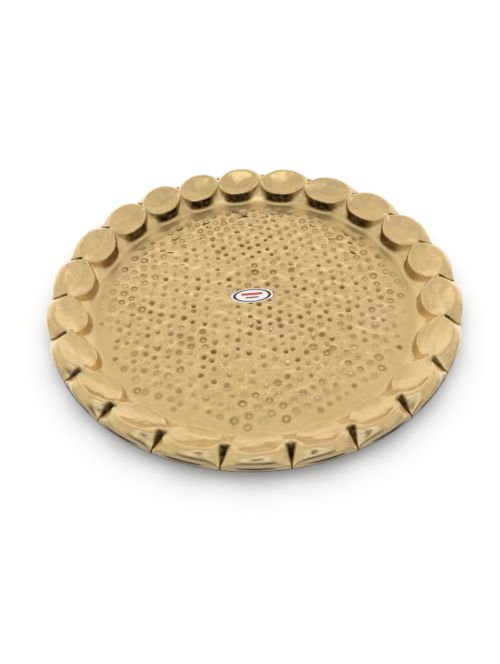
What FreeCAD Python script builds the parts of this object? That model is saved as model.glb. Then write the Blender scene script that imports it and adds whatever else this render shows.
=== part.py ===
"""Round hammered brass serving tray with a fluted rim and a wired edge.

Pieces: tray_sheet, one raised sheet of brass; rim_wire, the ring that its edge is curled round;
label, an oval paper sticker on the floor. Millimetres, +Z up. The origin is the centre of the
floor's underside, on which the tray stands. The rim is a chain of shallow almond-shaped dishes
that meet at cusps, with a sharp crease running out from each cusp to the edge.
"""

import FreeCAD, Part
import math
import os

V = FreeCAD.Vector

# Driving dimensions
SHEET = 0.8            # thickness of the brass
FLOOR_RADIUS = 139.0   # where the flat floor ends
LOBES = 22
FIRST_CREASE = 7.7     # degrees clockwise from the back (+Y)
BEAD_RADIUS = 1.7      # outside of the curled edge
BEAD_CENTRE = (174.5, 11.3)   # radius and height of the wire's centre
WIRE_RADIUS = 0.8
WIRE_GAP_DEGREES = 0.3        # the ring is one bent wire with a butt joint
LABEL_LENGTH = 38.0
LABEL_WIDTH = 18.0
LABEL_THICKNESS = 0.2
LABEL_CENTRE = (-1.6, 4.5)
LABEL_TURN = 4.0       # degrees anticlockwise
POLES_ACROSS = 11      # control points across one lobe
DEGREE = 3

# The lobes were set out by eye, so the creases drift from an even spacing:
# (waves round the tray, swing in degrees, phase in degrees)
SPACING_DRIFT = [(1, 1.7, -9.0), (2, 0.6, 57.0), (3, 0.4, 12.0), (4, 0.65, -28.0)]

# Creases lean: their inner ends lie anticlockwise of their outer ends, most at one place
CREASE_LEAN = 1.5      # degrees, from the bead to the floor's edge
LEAN_EXTRA = 1.0
LEAN_EXTRA_AT = 345.0  # degrees clockwise from the back
LEAN_EXTRA_POWER = 5   # how narrow that place is

# Power of a lobe's outline: 2 is a parabola and more is fuller
ROUNDNESS_INSIDE = 2.9
ROUNDNESS_OUTSIDE = 2.1

# Control points of the sheet's upper side from the floor to the bead, as (radius, height above
# the floor), through the middle of a lobe and along a crease. The two lists match point by point.
LOBE_MIDDLE = [
    (FLOOR_RADIUS, 0.0), (140.9, 0.1), (142.0, 2.2), (142.5, 6.8), (143.0, 10.2), (144.1, 12.0),
    (146.0, 12.0), (149.2, 12.0), (154.0, 13.3), (159.0, 15.8), (163.6, 18.6), (166.8, 21.2),
    (168.8, 23.2), (171.4, 22.8), (174.2, 21.0), (176.6, 18.9), (177.3, 17.2), (176.9, 14.8),
    (176.2, 12.7),
]
CREASE = [
    (FLOOR_RADIUS, 0.0), (141.4, 0.2), (144.8, 2.0), (148.4, 5.2), (151.6, 9.2), (153.8, 12.8),
    (155.3, 15.4), (156.4, 17.4), (157.2, 18.6), (158.1, 19.0), (159.1, 18.8), (160.6, 18.2),
    (163.4, 16.9), (166.8, 15.4), (169.6, 14.2), (172.0, 13.2), (173.6, 12.9), (174.8, 12.6),
    (175.8, 12.1),
]
# How much of a lobe's width its pouch takes at each control point, from the floor up to the lip
POUCH_WIDTH = [0.5, 0.5, 0.58, 0.72, 0.86, 0.96] + [1.0] * 13

# The curl: directions from the wire's centre, in degrees above the outward radius
CURL_START = -10.0
CURL_STEP = 45.0
CURL_POINTS = 5
# A cubic spline runs inside control points set on a circle, by this share at that step
CURL_POLE_SHARE = (2 + math.cos(math.radians(CURL_STEP))) / 3


def crease_angle(k):
    """Outer end of crease k, in degrees clockwise from the back."""
    even = 360.0 * k / LOBES
    drift = sum(swing * math.cos(math.radians(n * even - phase))
                for n, swing, phase in SPACING_DRIFT)
    return FIRST_CREASE + even - drift


def curl_points():
    """Control points of the outside of the curl, from beside the wire round under it."""
    reach = BEAD_RADIUS / CURL_POLE_SHARE
    points = []
    for k in range(CURL_POINTS):
        a = math.radians(CURL_START - CURL_STEP * k)
        points.append((BEAD_CENTRE[0] + reach * math.cos(a),
                       BEAD_CENTRE[1] - SHEET + reach * math.sin(a)))
    return points


def lean(turn, radius):
    """How far a point is turned back, in degrees, by the lean of the creases."""
    inward = max(0.0, (BEAD_CENTRE[0] - radius) / (BEAD_CENTRE[0] - FLOOR_RADIUS))
    near = max(0.0, math.cos(math.radians(turn - LEAN_EXTRA_AT)))
    return (CREASE_LEAN + LEAN_EXTRA * near ** LEAN_EXTRA_POWER) * inward


def upper_point(row, u, start, end):
    """One control point of the upper side, at u from -1 to 1 across the lobe."""
    middle, crease, width = PROFILES[row]
    outward_share = min(1.0, row / len(LOBE_MIDDLE))
    roundness = ROUNDNESS_INSIDE + (ROUNDNESS_OUTSIDE - ROUNDNESS_INSIDE) * outward_share
    swell = (1 - min(1.0, abs(u) / width) ** roundness) ** (3 - 2 * width)
    radius = crease[0] + (middle[0] - crease[0]) * swell
    height = crease[1] + (middle[1] - crease[1]) * swell
    turn = start + (end - start) * (u + 1) / 2
    a = math.radians(90 - turn + lean(turn, radius))
    return V(radius * math.cos(a), radius * math.sin(a), SHEET + height)


def knots(count):
    """Clamped uniform knots and their multiplicities for count control points."""
    spans = count - DEGREE
    return [float(k) for k in range(spans + 1)], [DEGREE + 1] + [1] * (spans - 1) + [DEGREE + 1]


def spline_places(count):
    """Where each control point acts along the curve, from -1 to 1."""
    values, mults = knots(count)
    full = [v for v, m in zip(values, mults) for _ in range(m)]
    places = [sum(full[i + 1:i + 1 + DEGREE]) / DEGREE for i in range(count)]
    return [2 * p / places[-1] - 1 for p in places]


def mitre(first, second):
    """The vector whose share along each of two unit normals is one."""
    return (first + second) * (1 / (1 + first.dot(second)))


def outward(points, i, j):
    """Mitred normal of the upper side at control point i, j of one lobe."""
    before = points[i][max(j - 1, 0)]
    after = points[i][min(j + 1, POLES_ACROSS - 1)]
    normals = []
    for a, b in ((i - 1, i), (i, i + 1)):
        if a >= 0 and b < len(points):
            normal = (after - before).cross(points[b][j] - points[a][j])
            normals.append(normal.normalize())
    return mitre(normals[0], normals[-1])


def crease_offset(before, after, i):
    """Mitred normal where two lobes meet."""
    left = outward(before, i, POLES_ACROSS - 1)
    right = outward(after, i, 0)
    size = (left.Length + right.Length) / 2
    return mitre(left.normalize(), right.normalize()) * size


def lobe_grids():
    """Control points of each lobe's upper and lower sides."""
    places = spline_places(POLES_ACROSS)
    uppers = []
    for k in range(LOBES):
        start = crease_angle(k)
        end = crease_angle(k + 1) if k + 1 < LOBES else crease_angle(0) + 360
        uppers.append([[upper_point(row, u, start, end) for u in places]
                       for row in range(len(PROFILES))])
    lowers = []
    for k, upper in enumerate(uppers):
        lower = []
        for i, points in enumerate(upper):
            offsets = [outward(upper, i, j) for j in range(POLES_ACROSS)]
            offsets[0] = crease_offset(uppers[k - 1], upper, i)
            offsets[-1] = crease_offset(upper, uppers[(k + 1) % LOBES], i)
            if i == 0:
                offsets = [V(0, 0, 1)] * POLES_ACROSS
            lower.append([point - off * SHEET for point, off in zip(points, offsets)])
        lowers.append(lower)
    return uppers, lowers


def patch(points):
    """A spline face through a grid of control points."""
    rows, row_mults = knots(len(points))
    cols, col_mults = knots(len(points[0]))
    surface = Part.BSplineSurface()
    surface.buildFromPolesMultsKnots(points, row_mults, col_mults, rows, cols,
                                     False, False, DEGREE, DEGREE)
    return surface


def edge_along(points):
    """The spline edge of one row of control points."""
    values, mults = knots(len(points))
    curve = Part.BSplineCurve()
    curve.buildFromPolesMultsKnots(points, mults, values, False, DEGREE)
    return curve.toShape()


def tray_sheet():
    """The brass: floor, wall, dishes, skirt and the curl round the wire, as one solid."""
    uppers, lowers = lobe_grids()
    faces = []
    for upper, lower in zip(uppers, lowers):
        faces.append(patch(upper).toShape())
        faces.append(patch(lower).toShape())
        faces.append(Part.makeRuledSurface(edge_along(upper[-1]), edge_along(lower[-1])))
    for side in (uppers, lowers):
        ring = Part.Wire([edge_along(grid[0]) for grid in side])
        faces.append(Part.Face(ring))
    shell = Part.Compound(faces)
    shell.sewShape(0.001)
    solid = Part.Solid(shell.Shells[0])
    if solid.Volume < 0:
        solid.reverse()
    return solid


def rim_wire():
    """The wire ring inside the curl."""
    centre = V(0, 0, BEAD_CENTRE[1])
    return Part.makeTorus(BEAD_CENTRE[0], WIRE_RADIUS, centre, V(0, 0, 1), 0, 360,
                          360 - WIRE_GAP_DEGREES)


def label():
    """The oval sticker, flat on the floor."""
    oval = Part.Ellipse(V(0, 0, 0), LABEL_LENGTH / 2, LABEL_WIDTH / 2).toShape()
    solid = Part.Face(Part.Wire([oval])).extrude(V(0, 0, LABEL_THICKNESS))
    solid.rotate(V(0, 0, 0), V(0, 0, 1), LABEL_TURN)
    solid.translate(V(LABEL_CENTRE[0], LABEL_CENTRE[1], SHEET))
    return solid


PROFILES = list(zip(LOBE_MIDDLE, CREASE, POUCH_WIDTH)) + [(p, p, 1.0) for p in curl_points()]

os.makedirs("parts", exist_ok=True)
for name, make in (("tray_sheet", tray_sheet), ("rim_wire", rim_wire), ("label", label)):
    shape = make()
    box = shape.optimalBoundingBox()
    print(name, shape.ShapeType, "valid", shape.isValid(), "volume %.0f" % shape.Volume,
          "x %.2f %.2f" % (box.XMin, box.XMax), "y %.2f %.2f" % (box.YMin, box.YMax),
          "z %.2f %.2f" % (box.ZMin, box.ZMax))
    shape.exportStep("parts/%s.step" % name)
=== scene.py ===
import math

import bpy
import numpy as np
from mathutils import Matrix, Vector

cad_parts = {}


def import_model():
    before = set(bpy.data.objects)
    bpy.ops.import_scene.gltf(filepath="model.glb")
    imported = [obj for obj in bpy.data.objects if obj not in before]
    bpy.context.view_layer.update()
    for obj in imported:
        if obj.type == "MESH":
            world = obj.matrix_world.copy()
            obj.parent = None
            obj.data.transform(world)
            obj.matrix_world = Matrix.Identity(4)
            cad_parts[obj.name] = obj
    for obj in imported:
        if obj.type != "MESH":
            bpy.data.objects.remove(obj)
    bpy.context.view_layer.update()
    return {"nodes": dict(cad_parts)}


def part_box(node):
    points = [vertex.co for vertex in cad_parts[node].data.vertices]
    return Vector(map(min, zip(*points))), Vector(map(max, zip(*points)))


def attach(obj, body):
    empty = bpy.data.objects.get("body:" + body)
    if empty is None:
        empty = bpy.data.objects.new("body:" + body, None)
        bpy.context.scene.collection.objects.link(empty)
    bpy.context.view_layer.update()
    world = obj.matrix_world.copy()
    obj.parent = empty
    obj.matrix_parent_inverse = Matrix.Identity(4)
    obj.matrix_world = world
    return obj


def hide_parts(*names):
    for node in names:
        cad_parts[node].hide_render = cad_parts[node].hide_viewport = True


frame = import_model()

# A hammered brass tray with a fluted rim. Lengths of the tray and its sticker are in millimetres and
# become metres when a mesh is made. Lengths in the materials and the studio are in metres.
MM = 0.001

# The sheet, as the CAD part has it
SHEET = 0.8                  # thickness of the brass
FLOOR_RADIUS = 139.0         # where the flat floor ends
LOBES = 22
FIRST_CREASE = 7.7           # degrees clockwise from the back (+Y)
BEAD_RADIUS = 1.7            # outside of the curled edge
# (waves round the tray, swing in degrees, phase in degrees) of the creases' drift from even spacing
SPACING_DRIFT = [(1, 1.7, -9.0), (2, 0.6, 57.0), (3, 0.4, 12.0), (4, 0.65, -28.0)]
CREASE_LEAN = 1.5            # degrees, from the bead to the floor's edge
LEAN_EXTRA = 1.0
LEAN_EXTRA_AT = 345.0        # degrees clockwise from the back
LEAN_EXTRA_POWER = 5
ROUNDNESS_INSIDE = 2.9       # power of a lobe's outline: more is fuller
ROUNDNESS_OUTSIDE = 2.1

# Control points of the rim's upper side, (radius, height above the floor), from the floor to the
# bead: through the middle of a lobe, and along a crease between two lobes. The lip and the outer
# slope of the lobe are up to 0.25 mm inside the CAD's, so that the dented mesh stays in its box.
LOBE_MIDDLE = [
    (FLOOR_RADIUS, 0.0), (140.9, 0.1), (142.0, 2.2), (142.5, 6.8), (143.0, 10.2), (144.1, 12.0),
    (146.0, 12.0), (149.2, 12.0), (154.0, 13.3), (159.0, 15.8), (163.6, 18.6), (166.8, 21.2),
    (168.8, 23.1), (171.4, 22.7), (174.1, 20.9), (176.4, 18.9), (177.05, 17.2), (176.7, 14.8),
    (176.0, 12.7),
]
CREASE = [
    (FLOOR_RADIUS, 0.0), (141.4, 0.2), (144.8, 2.0), (148.4, 5.2), (151.6, 9.2), (153.8, 12.8),
    (155.3, 15.4), (156.4, 17.4), (157.2, 18.6), (158.1, 19.0), (159.1, 18.8), (160.6, 18.2),
    (163.4, 16.9), (166.8, 15.4), (169.6, 14.2), (172.0, 13.2), (173.6, 12.9), (174.8, 12.6),
    (175.8, 12.1),
]
# How much of a lobe's width its pouch takes at each control point, from the floor up to the lip
POUCH_WIDTH = [0.5, 0.5, 0.58, 0.72, 0.86, 0.96] + [1.0] * 13
CURL_START = -10.0           # directions from the wire, in degrees above the outward radius
CURL_STEP = 45.0
CURL_POINTS = 5
# A cubic spline runs inside control points set on a circle, by this share at that step
CURL_POLE_SHARE = (2 + math.cos(math.radians(CURL_STEP))) / 3

# Mesh density
COLUMNS = 64                 # columns of points across one lobe
ROWS_PER_SPAN = 3            # rows of points between two control points of the rim
LABEL_SPOKES = 96            # points round the sticker
LABEL_RINGS = 24             # rings of points from its middle to its edge

# The beaten floor
FLOOR_TOP = 1.25             # height of the floor between the marks
FLOOR_SHEET = 0.55           # thickness of the beaten floor
THINNEST = 0.2               # the sheet is never thinner than this, under a deep mark
EDGE_BAND = 11.0             # width of the plainer edge, over which the sheet comes to full thickness
WAVES = 26
WAVE_STEEPNESS = 0.0062      # of each wave in the unevenness between the marks
FLOOR_WAVES = (6, 20)        # shortest and longest wave
DISH_WAVES = (8, 26)
DENT_SHARE = 0.5             # unevenness of the dishes, against the floor's
DENTS_BEGIN = (144, 150)     # radii between which the dents set in, and between which they end
DENTS_END = (170, 174)

# Hammer marks, in wandering rows on a triangular grid
MARK_SPACING = 10.4
MARK_ROWS_AT = 36.0          # direction of the rows, in degrees
ROW_BEND = 5.0               # how far the rows wander
SMALL_BEND = 2.5
MARK_JITTER = 0.95
MARK_RADIUS = 3.5
RADIUS_SPREAD = (0.86, 1.12)
MARK_DEPTH = 0.9
DEPTH_SPREAD = (0.55, 1.1)
# darkness of the marks: tarnish and painted shade in their hollows
DARKNESS_SPREAD = (0.2, 0.8)
MARK_REACH = 133.0           # radius at which the marks end, give or take REACH_JITTER
REACH_JITTER = 1.5
LEFT_OUT = 0.03              # share of the marks that are missing
LIP_HEIGHT = 0.22            # raised lip round a mark, against its depth
LIP_AT = 1.15                # place and width of the lip, in the mark's radii
LIP_WIDTH = 0.25
MARK_END = 1.9               # where the lip has died away, in the mark's radii
RINGS_FROM = (80, 125)       # radii between which ring-like marks become common
# What the marks lose towards the floor's edge: (from radius, to radius, share lost)
DEPTH_FADE = (85, 132, 0.35)
LAST_DEPTH_FADE = (127, 134, 0.6)
DARKNESS_FADE = (60, 135, 0.35)

# Painted shade in the folds between lobes. Widths are shares of half a lobe.
FOLD_WIDTH = 0.08            # inside the lip, at the back of the tray
FOLD_FRONT_EXTRA = 0.14      # how much wider it is at the front
FOLD_LEAST = 0.035           # this much more everywhere, and all that is left at the bead
FOLD_NARROWS = (160, 176)    # radii between which it narrows, and pales but for the front
FOLD_PALER = 0.35
FOLD_START = 166.0           # radius where it begins at the back, give or take FOLD_BLUR
FOLD_BLUR = 1.5
FOLD_FRONT_LONGER = 5.5      # how much further in it begins at the front, and at the sides
FOLD_SIDE_LONGER = 5.0
# Painted shade on the lobes' bellies, above the floor
BELLY_FOOT = (0.5, 3.5)      # heights between which it sets in, and between which it ends
BELLY_TOP = (10.6, 11.8)
BELLY_SIDES = (0.45, 0.85)   # shares of half a lobe between which it ends
BELLY_RADIUS = 150.0         # it is inside this radius
BELLY_AT_FRONT = 0.3         # strength at the front, against the back's
# Painted shade under the bead
BEAD_SHADE = 0.75
BEAD_BLUR = 0.6              # it sets in this far above and below the wire's centre
BEAD_BEGINS = (172, 174)     # radii between which it sets in

# The sticker
LABEL_LENGTH = 38.0
LABEL_WIDTH = 18.0
LABEL_TURN = 4.0             # degrees anticlockwise
LABEL_THICKNESS = 0.12
LABEL_TOP = 0.16             # above the floor between the marks
LABEL_DIP = 0.05             # depth of a slight wave in it
LABEL_EDGE_DROP = 0.06

# The camera, and the tent that the brass mirrors
EYE = Vector((0.0, -0.3814, 0.3829))
VIEW_TURNS = (0.709, 41.887, -2.391)       # yaw, tilt and roll in degrees
LENS = 32.91                 # millimetres, for a sensor 36 mm wide
SENSOR = 36.0
OVERHEAD = Vector((0, -0.3, 0.95)).normalized()      # towards the tent's lit top
LOW_LAMP = Vector((0.03, -0.75, 0.13))
# Colours of the tent: its folds in shade and in light, round its lit top, that top, near the ground,
# at the ground, low at the back, and its mouth and the table in front
TENT_SHADE = (0.58, 0.53, 0.43, 1)
TENT_CLOTH = (0.92, 0.845, 0.70, 1)
TENT_HALO = (0.62, 0.585, 0.49, 1)
TENT_TOP = (1.2, 1.18, 1.06, 1)
TENT_LOW = (0.45, 0.41, 0.33, 1)
TENT_FOOT = (0.12, 0.11, 0.08, 1)
TENT_BACK = (0.97, 0.9, 0.77, 1)
TENT_MOUTH = (0.04, 0.04, 0.03, 1)
TABLE = (0.5, 0.47, 0.4, 1)


# ---------------------------------------------------------------- the tray's shape

def smooth(low, high, x):
    """0 below low, 1 above high, and a smooth step between."""
    share = np.clip((x - low) / (high - low), 0, 1)
    return share * share * (3 - 2 * share)


def crease_angle(k):
    """Outer end of crease k, in degrees clockwise from the back."""
    even = 360.0 * k / LOBES
    drift = sum(swing * math.cos(math.radians(n * even - phase))
                for n, swing, phase in SPACING_DRIFT)
    return FIRST_CREASE + even - drift


def bead_centre():
    """Radius and height of the wire's centre, from the CAD wire."""
    low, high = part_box("rim_wire")
    wire_radius = (high.z - low.z) / 2
    return (high.y - wire_radius) / MM, (high.z + low.z) / 2 / MM


def curl_points():
    """Control points of the outside of the curl, from beside the wire round under it."""
    centre_radius, centre_height = bead_centre()
    reach = BEAD_RADIUS / CURL_POLE_SHARE
    turns = np.radians(CURL_START - CURL_STEP * np.arange(CURL_POINTS))
    return np.stack([centre_radius + reach * np.cos(turns),
                     centre_height - SHEET + reach * np.sin(turns)], -1)


def spline_weights(count, t):
    """Weight of each control point of a clamped cubic spline, at parameters t."""
    last = count - 3
    knots = np.concatenate([[0] * 3, np.arange(last + 1), [last] * 3]).astype(float)
    t = np.minimum(t, last - 1e-9)[:, None]
    weights = ((knots[:-1] <= t) & (t < knots[1:])).astype(float)
    for degree in (1, 2, 3):
        left = knots[degree:-1] - knots[:-degree - 1]
        right = knots[degree + 1:] - knots[1:-degree]
        rise = np.where(left > 0, (t - knots[:-degree - 1]) / np.where(left > 0, left, 1), 0)
        fall = np.where(right > 0, (knots[degree + 1:] - t) / np.where(right > 0, right, 1), 0)
        weights = rise * weights[:, :-1] + fall * weights[:, 1:]
    return weights


def rim_columns():
    """Turn of each column of points round the rim, and its place across its lobe, from -1 to 1."""
    across = np.arange(COLUMNS) / COLUMNS * 2 - 1
    across = across * (1.25 - 0.25 * across ** 2)      # closer together beside the creases
    starts = np.array([crease_angle(k) for k in range(LOBES + 1)])
    turns = starts[:-1, None] + np.diff(starts)[:, None] * (across + 1) / 2
    return turns.ravel(), np.tile(across, LOBES)


def rim_top(turns, across):
    """Points of the rim's upper side, row by row from the floor to the end of the curl."""
    middle, crease, curl = np.array(LOBE_MIDDLE), np.array(CREASE), curl_points()
    share = np.arange(len(middle)) / len(middle)
    power = ROUNDNESS_INSIDE + (ROUNDNESS_OUTSIDE - ROUNDNESS_INSIDE) * share
    width = np.array(POUCH_WIDTH)[:, None]
    swell = (1 - np.minimum(1, np.abs(across) / width) ** power[:, None]) ** (3 - 2 * width)
    lobe = crease[:, None] + (middle - crease)[:, None] * swell[:, :, None]
    poles = np.concatenate([lobe, np.repeat(curl[:, None], len(turns), 1)])
    spans = len(poles) - 3
    t = np.linspace(0, spans, ROWS_PER_SPAN * spans + 1)
    radius, height = np.tensordot(spline_weights(len(poles), t), poles, 1).transpose(2, 0, 1)
    inward = (bead_centre()[0] - radius) / (bead_centre()[0] - FLOOR_RADIUS)
    near = np.maximum(0, np.cos(np.radians(turns - LEAN_EXTRA_AT))) ** LEAN_EXTRA_POWER
    lean = (CREASE_LEAN + LEAN_EXTRA * near) * np.maximum(0, inward)
    angle = np.radians(90 - turns + lean)
    return np.stack([radius * np.cos(angle), radius * np.sin(angle), SHEET + height], -1)


def beaten(x, y, rng, shortest, longest):
    """Small unevenness of hand-beaten sheet: crossing waves of mixed lengths."""
    height = np.zeros(x.shape)
    for _ in range(WAVES):
        heading = rng.uniform(0, 2 * math.pi)
        length = rng.uniform(shortest, longest)
        along = (x * math.cos(heading) + y * math.sin(heading)) * 2 * math.pi / length
        height += WAVE_STEEPNESS * length * np.sin(along + rng.uniform(0, 2 * math.pi))
    return height


def dented(upper, rng):
    """The rim's upper side with small dents in its dishes, and none by the floor or the bead."""
    out = np.hypot(upper[..., 0], upper[..., 1])
    share = smooth(*DENTS_BEGIN, out) * (1 - smooth(*DENTS_END, out))
    waves = beaten(upper[..., 0], upper[..., 1], rng, *DISH_WAVES)
    upper[..., 2] += np.minimum(0, waves * DENT_SHARE - DENT_SHARE / 2) * share
    return upper


def unit(v):
    """Vectors brought to length one."""
    return v / np.linalg.norm(v, axis=-1, keepdims=True)


def mitred_normals(points):
    """Normals of a closed band, lengthened at a crease so that an offset keeps its thickness."""
    along = np.gradient(points, axis=0)
    right = unit(np.cross(np.roll(points, -1, 1) - points, along))
    left = np.roll(unit(np.cross(np.roll(points, -1, 1) - points, np.roll(along, -1, 1))), 1, 1)
    return (left + right) / (1 + (left * right).sum(-1, keepdims=True))


def fold_painted_shade(points, radius, across):
    """Painted shade along the creases, from near the lip out to the bead."""
    front = smooth(0.2, 0.75, -points[..., 1] / radius)
    side = smooth(0.5, 0.9, np.abs(points[..., 0]) / radius)
    down = smooth(*FOLD_NARROWS, radius)
    width = (FOLD_WIDTH + FOLD_FRONT_EXTRA * front) * (1 - down) + FOLD_LEAST
    fold = 1 - smooth(0.3, 1, (1 - np.abs(across)) / width)
    longer = np.maximum(FOLD_FRONT_LONGER * front, FOLD_SIDE_LONGER * side)
    fold *= smooth(-FOLD_BLUR, FOLD_BLUR, radius - FOLD_START + longer)
    return fold * (1 - FOLD_PALER * down * (1 - front))


def belly_painted_shade(points, radius, across):
    """Painted shade on the lobes' bellies, most of it at the back of the tray."""
    # painted shade on the inner walls, darker at the back
    height = points[..., 2] - SHEET
    back = smooth(-0.1, 0.75, points[..., 1] / radius)
    belly = smooth(*BELLY_FOOT, height) * (1 - smooth(*BELLY_TOP, height)) * (radius < BELLY_RADIUS)
    belly *= 1 - smooth(*BELLY_SIDES, np.abs(across))
    return belly * (BELLY_AT_FRONT + (1 - BELLY_AT_FRONT) * back)


def rim_painted_shade(points, across):
    """Painted shade in the folds between lobes, on the lobes' bellies and under the bead."""
    radius = np.hypot(points[..., 0], points[..., 1])
    # painted shade on the underside of the bead
    below = smooth(BEAD_BLUR, -BEAD_BLUR, points[..., 2] - bead_centre()[1])
    bead = below * smooth(*BEAD_BEGINS, radius) * BEAD_SHADE
    darkening = np.maximum(fold_painted_shade(points, radius, across), belly_painted_shade(points, radius, across))
    return np.maximum(darkening, bead)


def floor_grid(ring_turns):
    """Radius and turn of the floor's points: a square grid drawn out to a disc.
    Its outer ring has one point for each column of the rim."""
    n = len(ring_turns) // 4
    a, b = np.meshgrid(np.linspace(-1, 1, n + 1), np.linspace(-1, 1, n + 1), indexing="ij")
    wide = np.abs(a) > np.abs(b)
    size = np.where(wide, a, b)
    size = np.where(size == 0, 1e-9, size)
    slant = np.where(wide, b / size, a / size) * math.pi / 4
    angle = np.where(wide, slant, math.pi / 2 - slant)
    x, y = size * np.cos(angle), size * np.sin(angle)
    share = np.hypot(x, y)
    even = np.degrees(np.arctan2(x, y)) % 360
    even = np.where(even > 360 - 1e-4, 0, even)        # the ring's first point, whatever the rounding
    steps = np.arange(len(ring_turns) + 1) / len(ring_turns) * 360
    wanted = np.interp(even, steps, np.append(ring_turns, ring_turns[0] + 360))
    shift = (ring_turns - steps[:-1]).mean()
    near_edge = smooth(0.8, 1, share)
    turn = even + shift + (wanted - even - shift) * near_edge
    return share * FLOOR_RADIUS, turn


def ring_order(turn, first_turn):
    """Numbers of the grid's outermost points, clockwise from the rim's first column."""
    n = turn.shape[0]
    number = np.arange(n * n).reshape(n, n)
    edge = np.concatenate([number[0, :-1], number[:-1, -1], number[-1, :0:-1], number[:0:-1, 0]])
    ring = edge[np.argsort(turn.ravel()[edge])]
    return np.roll(ring, -np.argmin(np.abs((turn.ravel()[ring] - first_turn + 180) % 360 - 180)))


def faded(start, end, lost, out):
    """What is left, at radius out, of something that loses a share between two radii."""
    return 1 - lost * smooth(start, end, out)


def hammer_marks(rng):
    """Uneven rows of marks: centre, radius, depth, flat share, how ring-like, and how dark with
    tarnish and painted shade.
    """
    reach = int(MARK_REACH / MARK_SPACING) + 6
    i, j = np.meshgrid(np.arange(-reach, reach + 1), np.arange(-reach, reach + 1))
    grid_x = (i + j / 2).ravel() * MARK_SPACING
    grid_y = (j * math.sqrt(0.75)).ravel() * MARK_SPACING
    angle = math.radians(MARK_ROWS_AT)
    x = grid_x * math.cos(angle) - grid_y * math.sin(angle)
    y = grid_x * math.sin(angle) + grid_y * math.cos(angle)
    # The rows wander in long waves and short ones
    bend_x = ROW_BEND * np.sin(y / 42 + 0.6) + SMALL_BEND * np.sin(x / 27 + y / 60 + 2.0)
    bend_y = ROW_BEND * np.sin(x / 47 + 1.9) + SMALL_BEND * np.sin(y / 25 - x / 70 + 4.4)
    x = x + bend_x + rng.normal(0, MARK_JITTER, x.size)
    y = y + bend_y + rng.normal(0, MARK_JITTER, y.size)
    radius = MARK_RADIUS * rng.uniform(*RADIUS_SPREAD, x.size)
    depth = MARK_DEPTH * rng.uniform(*DEPTH_SPREAD, x.size)
    out = np.hypot(x, y)
    depth = depth * faded(*DEPTH_FADE, out) * faded(*LAST_DEPTH_FADE, out)
    # Ring-like marks lie in patches, and the more so towards the floor's edge
    patches = np.sin(x / 19 + 1.1) * np.sin(y / 23 + 0.4) + rng.normal(0, 0.35, x.size)
    ring = smooth(0.2, 1.2, patches + smooth(*RINGS_FROM, out) - 0.1)
    flat = 0.12 + 0.35 * ring
    # how dark each mark is: tarnish and painted shade
    darkness = rng.uniform(*DARKNESS_SPREAD, x.size) * faded(*DARKNESS_FADE, out)
    inside = out < MARK_REACH + rng.normal(0, REACH_JITTER, x.size)
    keep = inside & (rng.random(x.size) > LEFT_OUT)
    return np.stack([x, y, radius, depth, flat, ring, darkness], -1)[keep]


def mark_height(away, flat):
    """Height of a mark, in its depths, at away radii from its centre: a bowl with a raised lip."""
    bowl = 1 - smooth(flat, 1, away)
    lip = LIP_HEIGHT * np.exp(-((away - LIP_AT) / LIP_WIDTH) ** 2)
    return lip - bowl


def mark_darkness(away, ring):
    """Darkness in a mark, tarnish and painted shade, at away radii from its centre: a spot, or a
    circle if it is ring-like.
    """
    spot = 1 - smooth(0.35, 1.0, away)
    circle = np.exp(-((away - 0.7) / 0.3) ** 2)
    return spot + (circle - spot) * ring


def floor_top(x, y, radius, rng):
    """Heights of the floor's upper side and its darkening, tarnish and painted shade in the marks,
    with hammer marks and what is between.
    """
    marks = hammer_marks(rng)
    height = beaten(x, y, rng, *FLOOR_WAVES)
    height *= 1 - smooth(FLOOR_RADIUS - EDGE_BAND, FLOOR_RADIUS - 0.3 * EDGE_BAND, radius)
    stain_and_shade = np.zeros(x.shape)
    for mark_x, mark_y, size, depth, flat, ring, darkness in marks:
        away = np.hypot(x - mark_x, y - mark_y) / size
        near = away < MARK_END
        height[near] += depth * mark_height(away[near], flat)
        # tarnish and painted shade in the mark's hollow
        stain_and_shade[near] = np.maximum(stain_and_shade[near], darkness * mark_darkness(away[near], ring))
    height *= 1 - smooth(FLOOR_RADIUS - EDGE_BAND / 3, FLOOR_RADIUS, radius)
    label_x, label_y = label_centre()
    out = np.hypot((x - label_x) / LABEL_LENGTH, (y - label_y) / LABEL_WIDTH) * 2
    height -= np.maximum(0, height) * smooth(1.4, 1.05, out)     # nothing stands up under the label
    raised = 1 - smooth(FLOOR_RADIUS - 2.5 * EDGE_BAND, FLOOR_RADIUS, radius)
    return SHEET + (FLOOR_TOP - SHEET) * raised + height, stain_and_shade


def floor_faces(n):
    """Corner numbers of the square grid's faces, seen from above."""
    number = np.arange(n * n).reshape(n, n)
    a, b, c, d = number[:-1, :-1], number[1:, :-1], number[1:, 1:], number[:-1, 1:]
    return np.stack([a, b, c, d], -1).reshape(-1, 4)


def band_faces(rows):
    """Corner numbers of the faces between closed rows of points, seen from above."""
    below, above = rows[:-1], rows[1:]
    faces = np.stack([below, np.roll(below, -1, 1), np.roll(above, -1, 1), above], -1)
    return faces.reshape(-1, 4)


def joined(grid, rim, ring):
    """One side of the sheet, its floor's grid joined at ring to its rim's rows: its points, its
    faces seen from above, and the numbers of the points at its end."""
    floor_points = grid.reshape(-1, 3)
    floor_points[ring] = rim[0]
    band = np.arange(rim[1:].size // 3).reshape(len(rim) - 1, -1) + len(floor_points)
    rows = np.concatenate([ring[None], band])
    points = np.concatenate([floor_points, rim[1:].reshape(-1, 3)])
    return points, np.concatenate([floor_faces(len(grid)), band_faces(rows)]), rows[-1]


def mesh_object(name, points, faces):
    """An object in the scene, from points in metres and the corner numbers of its faces."""
    mesh = bpy.data.meshes.new(name)
    mesh.from_pydata(points, [], faces)
    piece = bpy.data.objects.new(name, mesh)
    bpy.context.scene.collection.objects.link(piece)
    return piece


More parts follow.
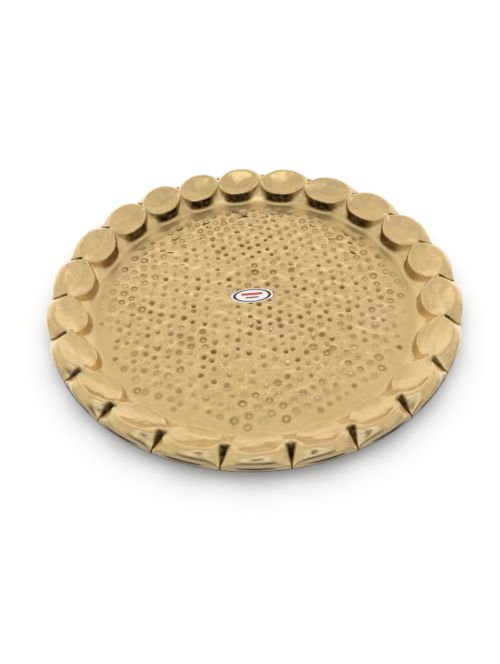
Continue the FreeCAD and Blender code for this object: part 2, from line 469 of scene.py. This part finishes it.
def tray_piece():
    """The whole sheet: beaten floor, wall, ring of dishes, outer slope and curled edge."""
    rng = np.random.default_rng(22)
    turns, across = rim_columns()
    radius, turn = floor_grid(turns)
    angle = np.radians(90 - turn)
    x, y = radius * np.cos(angle), radius * np.sin(angle)
    top, stain_and_shade = floor_top(x, y, radius, rng)
    upper = dented(rim_top(turns, across), rng)
    lower = upper - SHEET * mitred_normals(upper)
    lower[0, :, 2] = 0
    full = smooth(FLOOR_RADIUS - EDGE_BAND, FLOOR_RADIUS, radius)
    under = np.maximum(0, top - (FLOOR_SHEET + (SHEET - FLOOR_SHEET) * full))
    top = np.maximum(top, under + THINNEST)

    ring = ring_order(turn, turns[0])
    above, above_faces, above_end = joined(np.stack([x, y, top], -1), upper, ring)
    below, below_faces, below_end = joined(np.stack([x, y, under], -1), lower, ring)
    count = len(above)
    edge = band_faces(np.stack([above_end, below_end + count]))
    faces = np.concatenate([above_faces, below_faces[:, ::-1] + count, edge])
    piece = mesh_object("tray", (np.concatenate([above, below]) * MM).tolist(), faces.tolist())
    piece.data.shade_smooth()
    # painted shade on the rim, and tarnish and painted shade in the floor's marks, kept on the mesh
    rim_shade = rim_painted_shade(upper, across)[1:]
    stains_and_shade = np.concatenate([stain_and_shade.ravel(), rim_shade.ravel(), np.zeros(len(below))])
    layer = piece.data.attributes.new("stain_and_shade", "FLOAT", "POINT")
    layer.data.foreach_set("value", stains_and_shade.astype(np.float32))
    return piece


def label_centre():
    """Centre of the CAD sticker."""
    low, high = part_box("label")
    return (low.x + high.x) / 2 / MM, (low.y + high.y) / 2 / MM


def label_piece():
    """The oval sticker, a thin sheet of paper with a slight wave in it."""
    centre_x, centre_y = label_centre()
    shares = np.linspace(0, 1, LABEL_RINGS + 1)[1:] ** 0.8       # closer together towards the edge
    turns = np.arange(LABEL_SPOKES) / LABEL_SPOKES * 2 * math.pi
    share, turn = np.meshgrid(shares, turns, indexing="ij")
    x = np.append(0, share * np.cos(turn) * LABEL_LENGTH / 2)
    y = np.append(0, share * np.sin(turn) * LABEL_WIDTH / 2)
    angle = math.radians(LABEL_TURN)
    place_x = centre_x + x * math.cos(angle) - y * math.sin(angle)
    place_y = centre_y + x * math.sin(angle) + y * math.cos(angle)
    dip = LABEL_DIP * np.sin(place_x * 0.62 + 1) * np.sin(place_y * 0.7)
    height = FLOOR_TOP + LABEL_TOP + dip
    height[-LABEL_SPOKES:] -= LABEL_EDGE_DROP
    top = np.stack([place_x, place_y, height], -1)
    under = top - [0, 0, LABEL_THICKNESS]
    number = np.arange(1, x.size).reshape(-1, LABEL_SPOKES)
    rings = band_faces(number[::-1])
    fan = np.stack([number[0], np.roll(number[0], -1), np.zeros(LABEL_SPOKES, int)], -1)
    edge = band_faces(np.stack([number[-1] + x.size, number[-1]]))
    faces = rings.tolist() + fan.tolist() + edge.tolist()
    faces += (rings[:, ::-1] + x.size).tolist() + (fan[:, ::-1] + x.size).tolist()
    piece = mesh_object("label_sticker", (np.concatenate([top, under]) * MM).tolist(), faces)
    piece.data.shade_smooth()
    layer = piece.data.attributes.new("oval", "FLOAT_VECTOR", "POINT")
    oval = np.stack([x / LABEL_LENGTH * 2, y / LABEL_WIDTH * 2, np.zeros(x.size)], -1)
    layer.data.foreach_set("vector", np.concatenate([oval, oval]).astype(np.float32).ravel())
    return piece


# ---------------------------------------------------------------- shader nodes

def add(tree, kind, inputs=(), **settings):
    """A shader node with its settings and inputs; an input is a value or another node's output."""
    made = tree.nodes.new(kind)
    for key, value in settings.items():
        setattr(made, key, value)
    for key, value in dict(inputs).items():
        if isinstance(value, bpy.types.NodeSocket):
            tree.links.new(value, made.inputs[key])
        else:
            made.inputs[key].default_value = value
    return made


def number_math(tree, operation, *values):
    """The result of one operation on numbers."""
    return add(tree, "ShaderNodeMath", enumerate(values), operation=operation).outputs[0]


def vector_math(tree, operation, *values):
    """The result of one operation on vectors."""
    made = add(tree, "ShaderNodeVectorMath", enumerate(values), operation=operation)
    return made.outputs["Value" if operation in ("LENGTH", "DOT_PRODUCT") else "Vector"]


def noise(tree, place, scale, detail, roughness=0.5):
    """Cloudy noise, with about scale clouds to the unit."""
    return add(tree, "ShaderNodeTexNoise", {"Vector": place, "Scale": scale, "Detail": detail,
               "Roughness": roughness}).outputs["Fac"]


def ranged(tree, value, low, high, bottom, top):
    """A value from low to high brought into the range from bottom to top, and held at its ends."""
    return add(tree, "ShaderNodeMapRange", {"Value": value, "From Min": low, "From Max": high,
               "To Min": bottom, "To Max": top}).outputs["Result"]


def stepped(tree, value, start, end):
    """0 where value hasn't reached start, 1 past end, and a smooth step between. The end may be
    the lower of the two."""
    return add(tree, "ShaderNodeMapRange", {"Value": value, "From Min": start, "From Max": end},
               interpolation_type="SMOOTHSTEP").outputs["Result"]


def mixed(tree, share, first, second, blend="MIX"):
    """A share of the second colour mixed into, or multiplied with, the first."""
    return add(tree, "ShaderNodeMix", {0: share, 6: first, 7: second}, data_type="RGBA",
               blend_type=blend).outputs[2]


def ramp(tree, value, stops, interpolation="LINEAR"):
    """The colour at value, between stops of (value, colour)."""
    made = add(tree, "ShaderNodeValToRGB", {"Fac": value})
    made.color_ramp.interpolation = interpolation
    elements = made.color_ramp.elements
    for element, (place, colour) in zip(elements, (stops[0], stops[-1])):
        element.position = place
        element.color = colour
    for place, colour in stops[1:-1]:
        elements.new(place).color = colour
    return made.outputs["Color"]


# ---------------------------------------------------------------- materials

def new_material(name):
    """A material, its nodes, and its shader."""
    material = bpy.data.materials.new(name)
    material.use_nodes = True
    return material, material.node_tree, material.node_tree.nodes["Principled BSDF"]


def grained_brass(tree, place):
    """The metal's own colour: faint clouds of redder and yellower brass, with fine dark specks."""
    tint = ramp(tree, noise(tree, place, 14.0, 4.0),
                [(0.3, (0.83, 0.645, 0.31, 1)), (0.7, (0.89, 0.675, 0.385, 1))])
    specks = ranged(tree, noise(tree, place, 240.0, 8.0, 0.65), 0.3, 0.65, 0.91, 1.03)
    return mixed(tree, 1.0, tint, specks, "MULTIPLY")


def rim_streaks(tree, place, level, reach):
    """Streaks of wear that run round the rim: noise drawn out along it and fine up its slope."""
    height = add(tree, "ShaderNodeSeparateXYZ", {0: place}).outputs["Z"]
    up_slope = number_math(tree, "MULTIPLY", number_math(tree, "SUBTRACT", reach, height), 500.0)
    upward = add(tree, "ShaderNodeCombineXYZ", {"Z": up_slope}).outputs[0]
    way = vector_math(tree, "NORMALIZE", level)
    drawn_out = vector_math(tree, "MULTIPLY_ADD", way, (3, 3, 3), upward)
    return ranged(tree, noise(tree, drawn_out, 1.0, 4.0), 0.3, 0.7, 0.75, 1.15)


def brass_roughness(tree, place, reach, darkened):
    """Glossy with wear, scuffed at the floor's edge, less so on the rim, and duller where darkened by
    tarnish and painted shade.
    """
    gloss = ranged(tree, noise(tree, place, 90.0, 6.0), 0.3, 0.7, 0.08, 0.16)
    scuffed = ranged(tree, reach, 0.118, 0.130, 0.0, 0.36)
    polished = ranged(tree, reach, 0.139, 0.144, 0.0, 0.24)
    satin = number_math(tree, "ADD", gloss, number_math(tree, "SUBTRACT", scuffed, polished))
    return number_math(tree, "MULTIPLY_ADD", darkened, 0.25, satin)


def brass():
    """Lacquered brass, darkened by tarnish in the marks and painted shade on the rim, where the mesh's
    attribute says.
    """
    material, tree, shader = new_material("polished_brass")
    place = add(tree, "ShaderNodeTexCoord").outputs["Object"]
    level = vector_math(tree, "MULTIPLY", place, (1, 1, 0))
    reach = vector_math(tree, "LENGTH", level)
    # tarnish and painted shade from the mesh, broken into blotches; the ramp below darkens the brass
    # by it
    stain_and_shade = add(tree, "ShaderNodeAttribute", attribute_name="stain_and_shade").outputs["Fac"]
    blotches = ranged(tree, noise(tree, place, 260.0, 5.0), 0.3, 0.6, 0.75, 1.0)
    darkened = number_math(tree, "MULTIPLY", stain_and_shade, blotches)
    darkening = ramp(tree, darkened, [(0, (1, 1, 1, 1)), (0.6, (0.36, 0.29, 0.18, 1)),
                                (1, (0.03, 0.025, 0.02, 1))])
    colour = mixed(tree, 1.0, grained_brass(tree, place), darkening, "MULTIPLY")
    on_rim = ranged(tree, reach, 0.137, 0.143, 0.0, 0.5)
    colour = mixed(tree, on_rim, colour, rim_streaks(tree, place, level, reach), "MULTIPLY")
    tree.links.new(colour, shader.inputs["Base Color"])
    tree.links.new(darkening, shader.inputs["Specular Tint"])
    tree.links.new(brass_roughness(tree, place, reach, darkened), shader.inputs["Roughness"])
    tree.links.new(number_math(tree, "SUBTRACT", 1.0, darkened), shader.inputs["Coat Weight"])
    shader.inputs["Metallic"].default_value = 1.0
    shader.inputs["Coat Roughness"].default_value = 0.12
    return material


def steel():
    """Plain steel wire, dark in patches."""
    material, tree, shader = new_material("wire_steel")
    place = add(tree, "ShaderNodeTexCoord").outputs["Object"]
    tint = ramp(tree, noise(tree, place, 300.0, 5.0),
                [(0, (0.22, 0.2, 0.18, 1)), (1, (0.5, 0.48, 0.45, 1))])
    tree.links.new(tint, shader.inputs["Base Color"])
    shader.inputs["Metallic"].default_value = 1.0
    shader.inputs["Roughness"].default_value = 0.4
    return material


def paper():
    """Cream paper with a thin navy border and two short bars, one red and one navy."""
    material, tree, shader = new_material("label_paper")
    cream, navy, red = (0.78, 0.72, 0.66, 1), (0.035, 0.03, 0.075, 1), (0.45, 0.045, 0.05, 1)
    oval = add(tree, "ShaderNodeAttribute", attribute_name="oval").outputs["Vector"]
    apart = add(tree, "ShaderNodeSeparateXYZ", {0: oval})
    printed = ramp(tree, vector_math(tree, "LENGTH", oval), [(0, cream), (0.76, navy), (0.9, cream)],
                   "CONSTANT")
    for height, half_height, half_length, ink in ((0.2, 0.16, 0.5, red), (-0.28, 0.09, 0.3, navy)):
        over = number_math(tree, "COMPARE", apart.outputs["Y"], height, half_height)
        along = number_math(tree, "COMPARE", apart.outputs["X"], 0.0, half_length)
        printed = mixed(tree, number_math(tree, "MULTIPLY", over, along), printed, ink)
    tree.links.new(printed, shader.inputs["Base Color"])
    shader.inputs["Roughness"].default_value = 0.35
    return material


# ---------------------------------------------------------------- camera, light and floor

def camera():
    """A camera that looks down at the tray from in front."""
    made = bpy.data.cameras.new("camera")
    made.lens = LENS
    made.sensor_width = SENSOR
    piece = bpy.data.objects.new("camera", made)
    bpy.context.scene.collection.objects.link(piece)
    yaw, tilt, roll = (math.radians(a) for a in VIEW_TURNS)
    turn = Matrix.Rotation(yaw, 4, "Z") @ Matrix.Rotation(tilt, 4, "X") @ Matrix.Rotation(roll, 4, "Z")
    piece.matrix_world = Matrix.Translation(EYE) @ turn
    bpy.context.scene.camera = piece


def tent(tree):
    """What the brass mirrors: a pale tent with soft folds. Its lit top has a dimmer halo, it darkens
    towards the ground, it is pale low at the back, and in front its dark mouth is above a table.
    A height is the sine of how far up a direction points, and the rest are cosines."""
    direction = add(tree, "ShaderNodeTexCoord").outputs["Generated"]
    height = add(tree, "ShaderNodeSeparateXYZ", {0: direction}).outputs["Z"]
    heading = vector_math(tree, "NORMALIZE", vector_math(tree, "MULTIPLY", direction, (1, 1, 0)))
    backward = vector_math(tree, "DOT_PRODUCT", heading, (0, 1, 0))
    forward = vector_math(tree, "DOT_PRODUCT", heading, (0, -1, 0))
    lit = vector_math(tree, "DOT_PRODUCT", direction, OVERHEAD)
    low_back = number_math(tree, "MULTIPLY", stepped(tree, backward, 0.1, 0.6),
                           stepped(tree, height, 0.58, 0.4))
    low_front = number_math(tree, "MULTIPLY", stepped(tree, forward, 0.5, 0.8),
                            stepped(tree, height, 0.64, 0.54))
    front = mixed(tree, stepped(tree, height, 0.4, 0.28), TENT_MOUTH, TABLE)
    folds = stepped(tree, noise(tree, direction, 8.0, 3.0), 0.3, 0.7)
    shell = mixed(tree, folds, TENT_SHADE, TENT_CLOTH)
    for share, colour in ((stepped(tree, lit, 0.7, 0.93), TENT_HALO),
                          (stepped(tree, lit, 0.95, 0.99), TENT_TOP),
                          (stepped(tree, height, 0.3, 0.1), TENT_LOW),
                          (stepped(tree, height, 0.1, 0.0), TENT_FOOT),
                          (low_back, TENT_BACK),
                          (low_front, front)):
        shell = mixed(tree, share, shell, colour)
    return shell


def world():
    """A white room, which glossy surfaces mirror as the tent."""
    made = bpy.data.worlds.new("studio")
    bpy.context.scene.world = made
    made.use_nodes = True
    tree = made.node_tree
    mirrored = add(tree, "ShaderNodeLightPath").outputs["Is Glossy Ray"]
    shown = mixed(tree, mirrored, (1, 1, 1, 1), tent(tree))
    tree.links.new(shown, tree.nodes["Background"].inputs["Color"])


def facing(centre, way):
    """The place of a card that stands at centre and faces along way."""
    return Matrix.Translation(centre) @ way.to_track_quat("Z", "Y").to_matrix().to_4x4()


def rectangle(half_width, half_height):
    """Corners of a rectangle that lies flat."""
    return [(-half_width, -half_height, 0), (half_width, -half_height, 0),
            (half_width, half_height, 0), (-half_width, half_height, 0)]


def card(name, points, faces, brightness):
    """A glowing card that only shows in reflections."""
    piece = mesh_object(name, points, faces)
    material = bpy.data.materials.new(name)
    material.use_nodes = True
    tree = material.node_tree
    tree.nodes.clear()
    glow = add(tree, "ShaderNodeEmission", {"Color": (brightness,) * 3 + (1,)})
    surface = add(tree, "ShaderNodeOutputMaterial")
    tree.links.new(glow.outputs[0], surface.inputs["Surface"])
    piece.data.materials.append(material)
    piece.visible_camera = False
    piece.visible_diffuse = False
    piece.visible_shadow = False
    return piece


def disc(name, radius, centre, way, brightness, corners=48):
    """A round card."""
    turns = [2 * math.pi * k / corners for k in range(corners)]
    points = [(radius * math.cos(a), radius * math.sin(a), 0) for a in turns]
    piece = card(name, points, [range(corners)], brightness)
    piece.matrix_world = facing(centre, way)


def tent_opening():
    """The tent's opening round the camera: a dark disc with a small lamp at its middle, in front of a
    bright panel. A second lamp stands low and further off."""
    ahead = -EYE.normalized()
    lens_panel = card("panel", rectangle(0.3, 0.15), [(0, 1, 2, 3)], 0.9)
    lens_panel.matrix_world = facing(EYE - ahead * 0.03, ahead)
    disc("tent_opening", 0.085, EYE - ahead * 0.02, ahead, 0.01)
    disc("lens_lamp", 0.02, EYE - ahead * 0.015, ahead, 0.5)
    disc("low_lamp", 0.03, LOW_LAMP, -LOW_LAMP.normalized(), 1.2)


def apron(name, inner, outer, brightness):
    """A card on the ground round the front of the tray, between two radii, just clear of the floor."""
    turns = np.radians(np.linspace(110, 250, 29))      # clockwise from the back
    height = np.full(turns.size, 0.0006)
    rings = [np.stack([r * np.sin(turns), r * np.cos(turns), height], -1) for r in (inner, outer)]
    faces = [(k, k + 1, k + 1 + turns.size, k + turns.size) for k in range(turns.size - 1)]
    card(name, np.concatenate(rings).tolist(), faces, brightness)


def floor():
    """The pale floor."""
    piece = mesh_object("floor", rectangle(3.0, 3.0), [(0, 1, 2, 3)])
    material, _, shader = new_material("pale_floor")
    shader.inputs["Base Color"].default_value = (0.9, 0.9, 0.9, 1)
    shader.inputs["Roughness"].default_value = 1.0
    shader.inputs["Specular IOR Level"].default_value = 0.0
    piece.data.materials.append(material)


def fill_light():
    """A large soft lamp overhead, which the brass doesn't mirror."""
    lamp = bpy.data.lights.new("fill", "AREA")
    lamp.shape = "DISK"
    lamp.size = 1.6
    lamp.energy = 6.0
    piece = bpy.data.objects.new("fill", lamp)
    piece.location = (0, 0.2, 1.6)
    piece.visible_glossy = False
    bpy.context.scene.collection.objects.link(piece)


# ---------------------------------------------------------------- the scene

camera()
world()
floor()
fill_light()
tent_opening()
# a dark card seen only in reflections: painted shadow on the ground under the bead
apron("painted_shadow_card", 0.152, 0.182, 0.03)
# a grey card seen only in reflections: painted reflection of a darker ground in front
apron("painted_reflection_card", 0.182, 0.9, 0.5)

tray = tray_piece()
tray.data.materials.append(brass())
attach(tray, "root")
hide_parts("tray_sheet")

wire = frame["nodes"]["rim_wire"]
wire.data.materials.clear()
wire.data.materials.append(steel())

sticker = label_piece()
sticker.data.materials.append(paper())
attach(sticker, "root")
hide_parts("label")

bpy.context.scene.view_settings.view_transform = "Standard"
